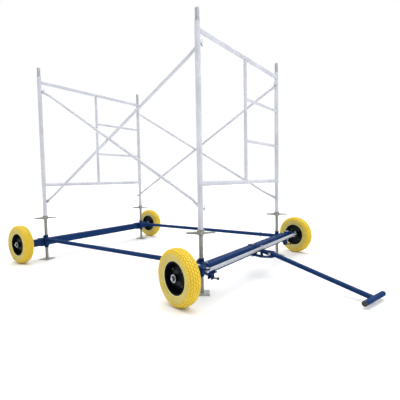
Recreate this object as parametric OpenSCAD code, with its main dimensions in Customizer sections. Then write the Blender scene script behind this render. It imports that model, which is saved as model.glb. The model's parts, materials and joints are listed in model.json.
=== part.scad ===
// Frame scaffold section standing on screw jacks in a wheeled, steerable chassis.
// Millimetres, +Z up. X runs from the rear end frame to the front one (the drawbar end),
// Y from the near legs to the far legs. The origin is the underside centre of the
// rear near base plate.

/* [Scaffold frames] */
// Distance between the two end frames, leg centre to leg centre
bay_length = 2134; // [1900:1:2400]
// Width of each end frame, leg centre to leg centre
frame_width = 1482; // [1400:1:1600]
// Height of each end frame
frame_height = 1524; // [1500:1:1700]
// Outside diameter of the frame legs
leg_od = 42; // [40:0.5:44]
// Outside diameter of the two cross rails of a frame
rail_od = 38; // [34:0.5:39]
// Wall of the frame tubes
frame_wall = 2.5; // [2:0.1:2.5]
// Height of the lower cross rail above the leg's foot
lower_rail_rise = 346; // [300:1:420]
// Distance of the upper cross rail below the leg's top
upper_rail_drop = 54; // [40:1:80]
// Distance of the ladder stile from the near leg
stile_offset = 747; // [650:1:850]
// Outside diameter of the ladder stile
stile_od = 30; // [26:0.5:32]
// Outside diameter of the rungs
rung_od = 27; // [22:0.5:28]
// Distance from one rung to the next
rung_pitch = 381; // [340:1:400]

/* [Cross braces] */
// Height of the lower brace stud above the leg's foot
lower_stud_rise = 154; // [120:1:200]
// Distance between the two brace studs of a leg
stud_spacing = 1219; // [1100:1:1250]
// Diameter of a brace stud
stud_d = 13; // [12:0.5:14]
// Outside diameter of a brace tube
brace_od = 25; // [21:0.5:27]

/* [Screw jacks] */
// Outside diameter of the jack screw
screw_od = 34; // [32:0.5:34.5]
// Overall height of a jack screw with its base plate
screw_length = 762; // [700:1:800]
// Height of the leg's foot above the ground
leg_foot = 492; // [470:1:520]
// Side of the square base plate
plate_side = 120; // [110:1:125]
// Thickness of the base plate
plate_thickness = 6; // [5:0.5:8]
// Tip-to-tip length of the wing nut's handles
nut_span = 224; // [200:1:240]

/* [Chassis] */
// Side of the square axle beams
beam_side = 75; // [74:0.5:76]
// Height of the front beam's centre
front_beam_z = 214; // [212:1:216]
// Height of the rear beam's centre
rear_beam_z = 190; // [188:1:196]
// Outside diameter of the side bars
side_bar_od = 40; // [39:0.5:42]
// Height of the side bars' centre
side_bar_z = 222; // [218:1:226]
// Distance of each rear wheel's centre from the part's centre line
rear_half_track = 995; // [980:1:1060]

/* [Steering] */
// Steering angle of the rest position, positive to the left
steer = -15; // [-30:1:30]
// Distance of each kingpin from the part's centre line
kingpin_half = 880; // [875:1:940]
// Length of the steering arms
arm_length = 110; // [100:1:120]
// Distance of a front wheel's centre from its kingpin
wheel_offset = 168; // [165:1:200]
// Distance of the drawbar's hinge from the yoke's pivot
hinge_reach = 223; // [215:1:240]
// Distance of the T handle from the yoke's pivot
handle_reach = 1090; // [900:1:1200]
// Height of the T handle's centre
handle_z = 38; // [25:1:200]

/* [Wheels] */
// Outside diameter of a tyre
tyre_od = 406; // [396:1:408]
// Width of a tyre
tyre_width = 100; // [90:1:104]
// Diameter of the rim's bead seat
rim_d = 232; // [220:1:240]
// Diameter of the axles
axle_d = 20; // [18:0.5:22]

/* [Hidden] */
$fn = 64;
CORNERS = ["rear_near", "rear_far", "front_near", "front_far"];
ENDS = ["rear", "front"];
SIDES = ["near", "far"];

frame_paint = [0.80, 0.82, 0.86];
zinc = [0.62, 0.63, 0.62];
blue = [0.10, 0.18, 0.45];
black = [0.06, 0.06, 0.07];
yellow = [0.95, 0.82, 0.22];

// Small gap left where one welded or bolted piece meets another
fit_gap = 0.05;
// Radial clearance of a pin that turns in its hole
run_gap = 0.06;

corner_x = [0, 0, bay_length, bay_length];
corner_y = [0, frame_width, 0, frame_width];
mid_y = frame_width / 2;
leg_top = leg_foot + frame_height;
rail_z = [leg_foot + lower_rail_rise, leg_top - upper_rail_drop];
stud_z = [leg_foot + lower_stud_rise, leg_foot + lower_stud_rise + stud_spacing];

// Turn of each base plate and of each nut's handles about the screw
plate_turn = [15.5, 20, 35.3, 62];
nut_turn = [60.5, 45, 35.3, 22];

sleeve_od = 44;
sleeve_bore = 36;
sleeve_bottom = 136;
sleeve_top = 274;
beam_offset = 63;
beam_wall = 5;
saddle_wall = 6;
extension_side = 64;
extension_overlap = 200;
bolt_d = 12;
// How far the front beam and its bolts reach beyond the legs
beam_overhang = 55;
bolt_y = -25;
front_x = bay_length + beam_offset;
wheel_z = tyre_od / 2 + 1.5;
hub_length = 90;
hub_d = 54;
// How far an axle's end stands out of its hub
axle_tip = 14;

arm_z = 247;
arm_thickness = 8;
lower_flange_z = 173.4;
tie_od = 27;
// The tie rod's flattened ends hang just under the steering arms
tie_plate = 8;
tie_plate_rise = 7;
tie_z = arm_z - 0.4 - tie_plate_rise;
kingpin_d = 24;
pivot_d = 20;
hinge_z = 208;
hinge_d = 14;
drawbar_od = 38;
drawbar_drop = atan2(hinge_z - handle_z, handle_reach - hinge_reach);
drawbar_length = norm([hinge_z - handle_z, handle_reach - hinge_reach]);
handle_half = 145;
knob_z = 142;
knob_y = -10;

function side_y(far) = far ? frame_width : 0;
function kingpin_y(far) = mid_y + (far ? kingpin_half : -kingpin_half);

// ---- shared shapes -------------------------------------------------------------

module pipe(od, wall, length) {
    difference() {
        cylinder(d = od, h = length);
        translate([0, 0, -1]) cylinder(d = od - 2 * wall, h = length + 2);
    }
}

module along_x() { rotate([0, 90, 0]) children(); }

module along_y() { rotate([-90, 0, 0]) children(); }

module rounded_square(side, r) {
    square([side, side - 2 * r], center = true);
    square([side - 2 * r, side], center = true);
    for (a = [-1, 1], b = [-1, 1]) translate([a * (side / 2 - r), b * (side / 2 - r)]) circle(r = r);
}

// Square bar along Y with rounded edges, centred on X and Z
module box_bar(side, r, length) { along_y() linear_extrude(length) rounded_square(side, r); }

// Square tube along Y, centred on X and Z
module box_tube(side, wall, length) {
    difference() {
        box_bar(side, wall + 3, length);
        translate([0, -1, 0]) box_bar(side - 2 * wall, 3, length + 2);
    }
}

// Hexagon nut or bolt head along +Z, by its size across the flats
module hexagon(flats, height) { cylinder(d = flats / cos(30), h = height, $fn = 6); }

// Reflects its children for the far side, so each piece is drawn once for the near side
module sided(far) { mirror([0, far ? 1 : 0, 0]) children(); }

// Places pieces drawn about the near kingpin, straight ahead, at their steered position
module at_kingpin(far) {
    translate([front_x, kingpin_y(far), 0]) rotate([0, 0, steer]) sided(far) children();
}

module at_yoke() { translate([front_x, mid_y, 0]) rotate([0, 0, steer]) children(); }

// Drawbar frame: the origin on the hinge, +X down the bar towards the handle
module at_drawbar() {
    at_yoke() translate([hinge_reach, 0, hinge_z]) rotate([0, drawbar_drop, 0]) children();
}

// ---- scaffold frames -----------------------------------------------------------

module frame_legs(x) {
    color(frame_paint) for (y = [0, frame_width])
        translate([x, y, leg_foot]) pipe(leg_od, frame_wall, frame_height);
}

module frame_rails(x) {
    color(frame_paint) for (z = rail_z) difference() {
        translate([x, 0, z]) along_y() pipe(rail_od, frame_wall, frame_width);
        for (y = [0, frame_width])
            translate([x, y, z - leg_od]) cylinder(d = leg_od + 2 * fit_gap, h = 2 * leg_od);
    }
}

module frame_stile(x) {
    color(frame_paint) difference() {
        translate([x, stile_offset, rail_z[0]]) pipe(stile_od, frame_wall, rail_z[1] - rail_z[0]);
        for (z = rail_z) translate([x, stile_offset - rail_od, z])
            along_y() cylinder(d = rail_od + 2 * fit_gap, h = 2 * rail_od);
    }
}

module frame_rungs(x) {
    color(frame_paint) for (i = [1, 2]) difference() {
        translate([x, stile_offset, rail_z[0] + i * rung_pitch])
            along_y() pipe(rung_od, frame_wall, frame_width - stile_offset);
        translate([x, stile_offset, rail_z[0]]) cylinder(d = stile_od + 2 * fit_gap, h = frame_height);
        translate([x, frame_width, rail_z[0]]) cylinder(d = leg_od + 2 * fit_gap, h = frame_height);
    }
}

// Spigots in the leg tops, on which the next frame is stacked
module coupling_pins() {
    spigot_d = 34;
    collar = 6;
    stand = 95;
    nose = 10;
    color(zinc) for (i = [0:3]) translate([corner_x[i], corner_y[i], leg_top]) difference() {
        union() {
            translate([0, 0, -100]) cylinder(d = spigot_d, h = 100 + collar + stand - nose);
            translate([0, 0, fit_gap]) cylinder(d = leg_od, h = collar);
            translate([0, 0, collar + stand - nose]) cylinder(d1 = spigot_d, d2 = spigot_d - 8, h = nose);
        }
        translate([0, 0, -101]) cylinder(d = spigot_d - 12, h = 102 + collar + stand);
    }
}

// Studs that point inwards from the legs and carry the brace ends
module brace_studs() {
    flange = 2.5;
    color(zinc) for (i = [0:3], z = stud_z) translate([corner_x[i], corner_y[i], z])
        sided(corner_y[i] > 0) difference() {
            union() {
                along_y() translate([0, 0, leg_od / 2 - 4]) cylinder(d = stud_d, h = 44);
                along_y() translate([0, 0, leg_od / 2 - 4]) cylinder(d = 24, h = 4 + flange);
            }
            translate([0, 0, -20]) cylinder(d = leg_od + 2 * fit_gap, h = 40);
            translate([0, leg_od / 2 + 32, -20]) cylinder(d = 5, h = 40);
        }
}

// Ring pins through the studs, which keep the braces on
module brace_lock_pins() {
    wire = 3;
    ring_r = 11;
    color(zinc) for (i = [0:3], z = stud_z)
        translate([corner_x[i], corner_y[i] + (corner_y[i] > 0 ? -1 : 1) * (leg_od / 2 + 32), z]) {
            translate([0, 0, -14]) cylinder(d = 4.9, h = 26);
            translate([0, 0, 12]) cylinder(d = 9, h = 5);
            translate([0, 0, 15 + ring_r + wire / 2]) along_y()
                rotate_extrude() translate([ring_r, 0]) circle(d = wire, $fn = 24);
        }
}

brace_run = norm([bay_length, stud_spacing]);
brace_tilt = atan2(stud_spacing, bay_length);
brace_face = leg_od / 2 + 3;
tab_thickness = 5;
tab_length = 40;
neck_length = 90;
// The falling tube lies outside the rising one where they cross
function brace_axis_y(rising) = brace_face + brace_od / 2 + (rising ? 0 : brace_od + 0.4);

// Flattened end of a brace: a drilled tab and the neck that swells into the tube
module brace_end(axis_y) {
    tab_width = 28;
    difference() {
        union() {
            translate([0, brace_face, 0]) along_y() cylinder(d = tab_width, h = tab_thickness);
            translate([0, brace_face, -tab_width / 2]) cube([tab_length, tab_thickness, tab_width]);
        }
        translate([0, brace_face - 1, 0]) along_y() cylinder(d = stud_d + 1, h = tab_thickness + 2);
    }
    hull() {
        translate([tab_length - 4, brace_face + 0.3, 0.5 - tab_width / 2])
            cube([0.5, tab_thickness - 0.6, tab_width - 1]);
        translate([tab_length + neck_length + 5, axis_y, 0]) along_x()
            cylinder(d = brace_od - 1, h = 0.5, $fn = 32);
    }
}

module brace(far, rising) {
    y = brace_axis_y(rising);
    tube_start = tab_length + neck_length;
    color(frame_paint) translate([0, side_y(far), rising ? stud_z[0] : stud_z[1]]) sided(far)
        rotate([0, rising ? -brace_tilt : brace_tilt, 0]) {
            brace_end(y);
            translate([brace_run, 0, 0]) mirror([1, 0, 0]) brace_end(y);
            difference() {
                translate([tube_start, y, 0]) along_x() pipe(brace_od, 2, brace_run - 2 * tube_start);
                translate([brace_run / 2, y - brace_od, 0]) along_y() cylinder(d = 8, h = 2 * brace_od);
            }
        }
}

// One rivet holds each pair of braces together where they cross
module brace_rivets() {
    low = brace_axis_y(true) - brace_od / 2;
    high = brace_axis_y(false) + brace_od / 2;
    color(zinc) for (far = [false, true])
        translate([bay_length / 2, side_y(far), (stud_z[0] + stud_z[1]) / 2]) sided(far) {
            translate([0, low - 2, 0]) along_y() cylinder(d = 7.9, h = high - low + 4);
            translate([0, low - 3, 0]) along_y() cylinder(d = 14, h = 3 - fit_gap);
            translate([0, high + fit_gap, 0]) along_y() cylinder(d = 14, h = 3);
        }
}

// ---- screw jacks ---------------------------------------------------------------

module jack_screw(i) {
    nail_offset = 45;
    color(zinc) translate([corner_x[i], corner_y[i], 0]) {
        rotate([0, 0, plate_turn[i]]) difference() {
            translate([-plate_side / 2, -plate_side / 2, 0]) cube([plate_side, plate_side, plate_thickness]);
            for (a = [-1, 1], b = [-1, 1])
                translate([a * nail_offset, b * nail_offset, -1]) cylinder(d = 12, h = plate_thickness + 2);
        }
        translate([0, 0, plate_thickness]) pipe(screw_od, 5, screw_length - plate_thickness);
    }
}

// Cast wing nut under the leg, with one stout handle and one slim one
module jack_nut(i) {
    collar_d = 52;
    cup = 7;
    handle_z = leg_foot - 25;
    color(zinc) translate([corner_x[i], corner_y[i], 0]) difference() {
        union() {
            translate([0, 0, leg_foot - 43]) cylinder(d = collar_d, h = 43 - cup);
            translate([0, 0, leg_foot - cup]) cylinder(d = 60, h = cup - 0.3);
            translate([0, 0, handle_z]) rotate([0, 0, nut_turn[i]]) {
                along_x() cylinder(d1 = 15, d2 = 12, h = nut_span / 2 - 6);
                translate([nut_span / 2 - 6, 0, 0]) sphere(d = 12, $fn = 32);
                mirror([1, 0, 0]) along_x() cylinder(d1 = 24, d2 = 16, h = nut_span / 2 - 8);
                translate([8 - nut_span / 2, 0, 0]) sphere(d = 16, $fn = 32);
            }
        }
        translate([0, 0, leg_foot - 60]) cylinder(d = screw_od + 2 * run_gap, h = 80);
    }
}

// ---- chassis -------------------------------------------------------------------

module sleeve() { translate([0, 0, sleeve_bottom]) cylinder(d = sleeve_od, h = sleeve_top - sleeve_bottom); }

// Bores of a sleeve: the screw's and the lock screw's
module sleeve_bores() {
    translate([0, 0, sleeve_bottom - 1]) cylinder(d = sleeve_bore, h = sleeve_top - sleeve_bottom + 2);
    translate([0, 0, sleeve_top - 18]) rotate([0, 0, 225]) along_x() cylinder(d = 10.1, h = 40);
}

// Rear socket: a sleeve welded to a square saddle that grips the rear beam
module rear_socket(far) {
    saddle = beam_side + 0.6 + 2 * saddle_wall;
    half_width = 45;
    color(blue) translate([0, side_y(far), 0]) sided(far) difference() {
        union() {
            sleeve();
            translate([-beam_offset, -half_width, rear_beam_z]) box_tube(saddle, saddle_wall, 2 * half_width);
        }
        sleeve_bores();
    }
}

// Front socket: a sleeve on an angle bracket under the front beam, with a telescopic stub
// for the side bar and a small channel below that carries a hand screw
channel_x = 76;
channel_depth = 34;
channel_wall = 5;
module front_socket(far) {
    shelf = front_beam_z - beam_side / 2 - 0.3;
    inner_y = 50;
    outer_y = -50;
    channel_bottom = 130;
    channel_height = shelf - channel_bottom;
    stub_od = side_bar_od - 6.6;
    color(blue) translate([bay_length, side_y(far), 0]) sided(far) difference() {
        union() {
            sleeve();
            translate([19.2, outer_y, shelf - 8]) cube([saddle_wall, inner_y - outer_y, 80]);
            translate([19.2, outer_y, shelf - 8])
                cube([channel_x + channel_depth - 19.2, inner_y - outer_y, 8]);
            for (x = [channel_x, channel_x + channel_depth - channel_wall])
                translate([x, knob_y - 20, channel_bottom]) cube([channel_wall, 40, channel_height]);
            translate([channel_x, knob_y + 20 - channel_wall, channel_bottom])
                cube([channel_depth, channel_wall, channel_height]);
            translate([-260, 0, side_bar_z]) along_x() cylinder(d = stub_od, h = 245);
        }
        sleeve_bores();
        translate([-261, 0, side_bar_z]) along_x() cylinder(d = stub_od - 6, h = 230);
        translate([-195, 0, side_bar_z - 30]) cylinder(d = 10.4, h = 60);
        translate([beam_offset, bolt_y, shelf - 9]) cylinder(d = bolt_d + 0.6, h = 10);
        translate([channel_x + channel_depth - channel_wall - 1, knob_y, knob_z]) along_x()
            cylinder(d = 10 + 2 * run_gap, h = channel_wall + 2);
    }
}

module socket_lock_screws() {
    color(black) for (i = [0:3]) translate([corner_x[i], corner_y[i], sleeve_top - 18])
        sided(corner_y[i] > 0) rotate([0, 0, 225]) along_x() {
            translate([0, 0, screw_od / 2 + 0.4]) cylinder(d = 10, h = 20);
            translate([0, 0, sleeve_od / 2 + 1]) hexagon(17, 8);
        }
}

// Hand screw through the outer flange of a front socket's channel
module clamp_knob(far) {
    tip = channel_x + channel_wall + 0.5;
    shank = channel_depth + 35;
    color(black) translate([bay_length + tip, side_y(far), knob_z]) sided(far) translate([0, knob_y, 0])
        along_x() {
            cylinder(d = 10, h = shank);
            translate([0, 0, shank - 6]) cylinder(d1 = 12, d2 = 22, h = 6);
            translate([0, 0, shank]) cylinder(d = 22, h = 8);
            translate([0, 0, shank + 8]) cylinder(d1 = 22, d2 = 16, h = 4);
        }
}

module side_bar(far) {
    color(blue) difference() {
        translate([0, side_y(far), side_bar_z]) along_x() pipe(side_bar_od, 3, bay_length);
        for (x = [0, bay_length]) translate([x, side_y(far), sleeve_bottom])
            cylinder(d = sleeve_od + 2 * fit_gap, h = sleeve_top - sleeve_bottom);
        translate([-beam_offset, side_y(far) - 46, rear_beam_z - 44]) cube([beam_offset - 18.8, 92, 88]);
        translate([bay_length - 195, side_y(far), side_bar_z - 30]) cylinder(d = 10.4, h = 60);
    }
}

module side_bar_pins() {
    color(zinc) for (far = [false, true]) translate([bay_length - 195, side_y(far), side_bar_z]) {
        translate([0, 0, -34]) cylinder(d = 10, h = 58);
        translate([0, 0, 22]) cylinder(d = 18, h = 6);
    }
}

module rear_beam() {
    overhang = rear_half_track - mid_y - 75;
    length = frame_width + 2 * overhang;
    color(blue) translate([-beam_offset, -overhang, rear_beam_z]) {
        box_tube(beam_side, beam_wall, length);
        for (y = [0, length - 8]) translate([0, y, 0]) box_bar(beam_side - 2, beam_wall + 2, 8);
    }
}

module rear_stub_axles() {
    color(zinc) for (far = [false, true]) translate([-beam_offset, side_y(far), wheel_z]) sided(far)
        translate([0, mid_y - rear_half_track, 0]) {
            translate([0, 67, 0]) rotate([90, 0, 0]) translate([0, 0, -7.9]) cylinder(d = 48, h = 8);
            translate([0, hub_length / 2 + 1, 0]) along_y() cylinder(d = 30, h = 21);
            translate([0, -hub_length / 2 - axle_tip, 0]) along_y()
                cylinder(d = axle_d, h = hub_length + axle_tip + 23);
        }
}

// Washer and hexagon nut on the end of an axle, drawn about the wheel's centre
module wheel_nut() {
    translate([0, -hub_length / 2 - 1, 0]) rotate([90, 0, 0]) difference() {
        union() {
            cylinder(d = 34, h = 2);
            hexagon(27, 11);
        }
        translate([0, 0, -1]) cylinder(d = axle_d + 2 * fit_gap, h = 20);
    }
}

module rear_wheel_nuts() {
    color(zinc) for (far = [false, true]) translate([-beam_offset, side_y(far), wheel_z]) sided(far)
        translate([0, mid_y - rear_half_track, 0]) wheel_nut();
}

module front_beam() {
    collar = beam_side + 2 * saddle_wall;
    collar_length = 28;
    color(blue) difference() {
        union() {
            translate([front_x, -beam_overhang, front_beam_z])
                box_tube(beam_side, beam_wall, frame_width + 2 * beam_overhang);
            translate([front_x, mid_y - collar_length / 2, front_beam_z])
                box_tube(collar, saddle_wall + 1, collar_length);
        }
        translate([front_x, mid_y, 0]) cylinder(d = pivot_d + 2 * fit_gap, h = 400);
        for (y = [bolt_y, frame_width - bolt_y])
            translate([front_x, y, 0]) cylinder(d = bolt_d + 0.6, h = 400);
    }
}

// Inner tube that slides in the front beam and ends in the kingpin barrel
module axle_extension(far) {
    barrel = 64;
    kp = mid_y - kingpin_half;
    color(blue) translate([front_x, side_y(far), 0]) sided(far) difference() {
        union() {
            translate([0, kp + 12, front_beam_z])
                box_tube(extension_side, beam_wall, extension_overlap - kp - 12);
            translate([0, kp, front_beam_z - barrel / 2]) cylinder(d = 46, h = barrel);
        }
        translate([0, kp, 0]) cylinder(d = kingpin_d + 2 * fit_gap, h = 400);
        translate([0, bolt_y, 0]) cylinder(d = bolt_d + 0.6, h = 400);
    }
}

// Bolts through the beam, its extensions and the sockets' brackets
module beam_bolts() {
    top = front_beam_z + beam_side / 2 + fit_gap;
    bottom = front_beam_z - beam_side / 2 - 8.4;
    color(zinc) for (y = [bolt_y, frame_width - bolt_y]) translate([front_x, y, 0]) {
        translate([0, 0, bottom - 14]) cylinder(d = bolt_d, h = top - bottom + 14);
        translate([0, 0, top]) hexagon(19, 8);
        translate([0, 0, bottom - 11]) hexagon(19, 10.9);
    }
}

// ---- steering ------------------------------------------------------------------

// A headed pin along Z with a nut below it
module headed_pin(d, low, high, flats) {
    translate([0, 0, low - 14]) cylinder(d = d, h = high - low + 14);
    translate([0, 0, high]) hexagon(flats, 8);
    translate([0, 0, low - 12.5]) hexagon(flats, 12);
}

module steering_pins() {
    color(zinc) {
        for (far = [false, true]) translate([front_x, kingpin_y(far), 0])
            headed_pin(kingpin_d, lower_flange_z - 0.5, arm_z + arm_thickness + 0.5, 36);
        translate([front_x, mid_y, 0])
            headed_pin(pivot_d, 157.5, front_beam_z + beam_side / 2 + saddle_wall + fit_gap, 30);
    }
}

// Steering knuckle: a C bracket on the kingpin, with the steering arm and the stub axle
module knuckle(far) {
    half = 30;
    back = -53;
    wall = 8;
    color(blue) at_kingpin(far) difference() {
        union() {
            for (z = [lower_flange_z, arm_z]) {
                translate([0, 0, z]) cylinder(d = 2 * half, h = wall);
                translate([-half, back, z]) cube([2 * half, -back, wall]);
            }
            translate([0, -18, arm_z]) cube([arm_length, 36, arm_thickness]);
            translate([arm_length, 0, arm_z]) cylinder(d = 36, h = arm_thickness);
            translate([-half, back, lower_flange_z]) cube([2 * half, wall, arm_z + wall - lower_flange_z]);
            translate([0, hub_length / 2 + 1 - wheel_offset, wheel_z]) along_y()
                cylinder(d = 32, h = wheel_offset - hub_length / 2 - 1 + back + 1);
            translate([0, -wheel_offset - hub_length / 2 - axle_tip, wheel_z]) along_y()
                cylinder(d = axle_d, h = hub_length + axle_tip + 16);
        }
        cylinder(d = kingpin_d + 2 * run_gap, h = 400);
        translate([arm_length, 0, 0]) cylinder(d = bolt_d + 0.6, h = 400);
    }
}

module front_wheel_nut(far) {
    color(zinc) at_kingpin(far) translate([0, -wheel_offset, wheel_z]) wheel_nut();
}

// Where the tie rod's near, middle and far bolts stand
function tie_point(y) = [front_x + arm_length * cos(steer), y + arm_length * sin(steer), 0];
tie_ends = [kingpin_y(false), mid_y, kingpin_y(true)];

// Flattened end of the tie rod, pointing along -Y from the end bolt
module tie_end() {
    translate([0, 0, tie_plate_rise - tie_plate]) cylinder(d = 34, h = tie_plate);
    translate([-17, 0, tie_plate_rise - tie_plate]) cube([34, 50, tie_plate]);
    hull() {
        translate([-16.5, 45, tie_plate_rise - tie_plate + 0.3]) cube([33, 0.5, tie_plate - 0.6]);
        translate([0, 105, 0]) along_y() cylinder(d = tie_od - 1, h = 0.5, $fn = 32);
    }
}

module tie_rod() {
    length = 2 * kingpin_half;
    color(zinc) translate(tie_point(tie_ends[0])) difference() {
        translate([0, 0, tie_z]) {
            tie_end();
            translate([0, length, 0]) mirror([0, 1, 0]) tie_end();
            translate([0, 100, 0]) along_y() pipe(tie_od, 3, length - 200);
        }
        for (y = [0, kingpin_half, length]) translate([0, y, 200]) cylinder(d = bolt_d + 0.1, h = 100);
        translate([-4, 24, 200]) cube([8, 22, 100]);
    }
}

module tie_rod_bolts() {
    nut = 10.6;
    nut_top = tie_z + tie_plate_rise - tie_plate - fit_gap;
    head = arm_z + arm_thickness + 0.3;
    middle_foot = yoke_post_top - 26;
    color(zinc) {
        for (y = [tie_ends[0], tie_ends[2]]) translate(tie_point(y)) {
            translate([0, 0, nut_top - nut - 3]) cylinder(d = bolt_d, h = head + 1 - nut_top + nut + 3);
            translate([0, 0, nut_top - nut]) hexagon(19, nut);
            translate([0, 0, head]) hexagon(19, 8);
        }
        translate(tie_point(tie_ends[1])) {
            translate([0, 0, middle_foot]) cylinder(d = bolt_d, h = tie_z + tie_od / 2 + 2 - middle_foot);
            translate([0, 0, tie_z + tie_od / 2 + fit_gap]) hexagon(19, 8);
        }
    }
}

// Yoke: a bent bar that turns under the front beam, with a post that moves the tie rod and
// two cheeks that carry the drawbar's hinge
yoke_post_top = tie_z - tie_od / 2 - 0.6;
module yoke() {
    plate_z = 158;
    plate = 10;
    half = 25;
    post_d = 24;
    cheek = 8;
    cheek_y = drawbar_od / 2 + 1;
    toe_z = 174;
    link_z = 208;
    link = 15;
    color(blue) at_yoke() difference() {
        union() {
            translate([0, 0, plate_z]) cylinder(d = 2 * half + 6, h = plate);
            translate([0, -half, plate_z]) cube([arm_length + 15, 2 * half, plate]);
            hull() {
                translate([arm_length + 14, -half, plate_z]) cube([1, 2 * half, plate]);
                translate([hinge_reach + 15, -cheek_y - cheek, toe_z])
                    cube([1, 2 * (cheek_y + cheek), plate]);
            }
            translate([arm_length, 0, plate_z + plate - 1])
                cylinder(d = post_d, h = yoke_post_top - plate_z - plate + 1);
            translate([arm_length - post_d / 2, -cheek_y - cheek, link_z])
                cube([post_d + 6, 2 * (cheek_y + cheek), link]);
            for (s = [-1, 1]) translate([0, s * (cheek_y + cheek / 2) - cheek / 2, 0]) {
                hull() {
                    translate([arm_length + post_d / 2, 0, link_z]) cube([1, cheek, link]);
                    translate([hinge_reach, 0, hinge_z]) along_y() cylinder(d = 38, h = cheek);
                }
                hull() {
                    translate([hinge_reach, 0, hinge_z]) along_y() cylinder(d = 32, h = cheek);
                    translate([hinge_reach - 12, 0, toe_z + 2]) cube([27, cheek, 2]);
                }
            }
        }
        translate([0, 0, 100]) cylinder(d = pivot_d + 2 * run_gap, h = 100);
        translate([arm_length, 0, yoke_post_top - 30]) cylinder(d = bolt_d + 0.6, h = 60);
        translate([hinge_reach, -50, hinge_z]) along_y() cylinder(d = hinge_d + 2 * fit_gap, h = 100);
    }
}

module drawbar_hinge_bolt() {
    half = drawbar_od / 2 + 9;
    color(zinc) at_yoke() translate([hinge_reach, 0, hinge_z]) {
        translate([0, -half - 12, 0]) along_y() cylinder(d = hinge_d, h = 2 * half + 14);
        translate([0, -half - 10.2, 0]) along_y() hexagon(22, 10);
        translate([0, half + 0.2, 0]) along_y() hexagon(22, 8);
    }
}

// Drawbar: a tube with a welded T handle
module drawbar() {
    color(blue) at_drawbar() difference() {
        union() {
            translate([-12, 0, 0]) along_x() cylinder(d = drawbar_od, h = drawbar_length + 12);
            translate([drawbar_length, -handle_half, 0]) along_y()
                cylinder(d = drawbar_od, h = 2 * handle_half);
        }
        translate([-13, 0, 0]) along_x() cylinder(d = drawbar_od - 6, h = drawbar_length - 3);
        translate([drawbar_length, -handle_half - 1, 0]) along_y()
            cylinder(d = drawbar_od - 6, h = 2 * handle_half + 2);
        translate([0, -50, 0]) along_y() cylinder(d = hinge_d + 2 * run_gap, h = 100);
    }
}

module handle_caps() {
    color(black) at_drawbar() for (s = [0, 1]) translate([drawbar_length, 0, 0]) mirror([0, s, 0]) {
        translate([0, handle_half + fit_gap, 0]) along_y() cylinder(d = drawbar_od, h = 5);
        translate([0, handle_half - 15, 0]) along_y() cylinder(d = drawbar_od - 6.4, h = 16);
    }
}

// ---- wheels --------------------------------------------------------------------

// Places a wheel drawn about its centre, its axle along Y and its outer face towards -Y
module at_wheel(i) {
    far = corner_y[i] > 0;
    if (corner_x[i] > 0) at_kingpin(far) translate([0, -wheel_offset, wheel_z]) children();
    else translate([-beam_offset, side_y(far), wheel_z]) sided(far)
        translate([0, mid_y - rear_half_track, 0]) children();
}

// Half profile of the tyre: radius along X, width along Y
module tyre_profile() {
    r = tyre_od / 2;
    w = tyre_width / 2;
    bead = rim_d / 2 + 0.3;
    crown = [for (t = [0:10:180]) [r - 16 + 16 * pow(sin(t), 0.8), (w - 4) * cos(t)]];
    polygon(concat([[bead, w - 16], [bead + 14, w - 4], [bead + 34, w], [r - 30, w]], crown,
                   [[r - 30, -w], [bead + 34, -w], [bead + 14, 4 - w], [bead, 16 - w]]));
}

module tyre(i) { color(yellow) at_wheel(i) along_y() rotate_extrude($fn = 96) tyre_profile(); }

// Pressed rim: the bead seat, a dished web and the hub
module rim_profile() {
    seat = rim_d / 2;
    w = tyre_width / 2 - 12;
    hub = hub_d / 2;
    bore = axle_d / 2 + run_gap;
    h = hub_length / 2;
    polygon([[bore, -h], [hub, -h], [hub, -8], [hub + 24, -14], [seat - 26, 4], [seat - 8, 4],
             [seat - 8, 4 - w], [seat - 2, -w], [seat, -w], [seat, w], [seat - 2, w], [seat - 8, w - 4],
             [seat - 8, 10], [seat - 26, 10], [hub + 24, -8], [hub, -2], [hub, h], [bore, h]]);
}

module rim(i) { color(black) at_wheel(i) along_y() rotate_extrude($fn = 96) rim_profile(); }

// ---- the assembly --------------------------------------------------------------

for (e = [0, 1]) {
    x = e * bay_length;
    frame_legs(x);
    frame_rails(x);
    frame_stile(x);
    frame_rungs(x);
}
coupling_pins();
brace_studs();
brace_lock_pins();
brace_rivets();
for (s = [0, 1]) {
    far = s == 1;
    brace(far, true);
    brace(far, false);
    rear_socket(far);
    front_socket(far);
    side_bar(far);
    axle_extension(far);
    knuckle(far);
    front_wheel_nut(far);
    clamp_knob(far);
}
for (i = [0:3]) {
    jack_screw(i);
    jack_nut(i);
    tyre(i);
    rim(i);
}
socket_lock_screws();
side_bar_pins();
rear_beam();
rear_stub_axles();
rear_wheel_nuts();
front_beam();
beam_bolts();
steering_pins();
tie_rod();
tie_rod_bolts();
yoke();
drawbar_hinge_bolt();
drawbar();
handle_caps();
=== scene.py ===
"""Looks of a frame scaffold section in its wheeled, steerable chassis.

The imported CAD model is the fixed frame. Tubes, beams and brackets keep their CAD meshes and get
procedural materials; tyres, screws, nuts, bolts and caps are replaced by detailed meshes, and
weld beads, hub parts and rim bolts are added.
"""

import json
import math

import bmesh
import bpy
import numpy as np
from mathutils import Matrix, Vector


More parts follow.
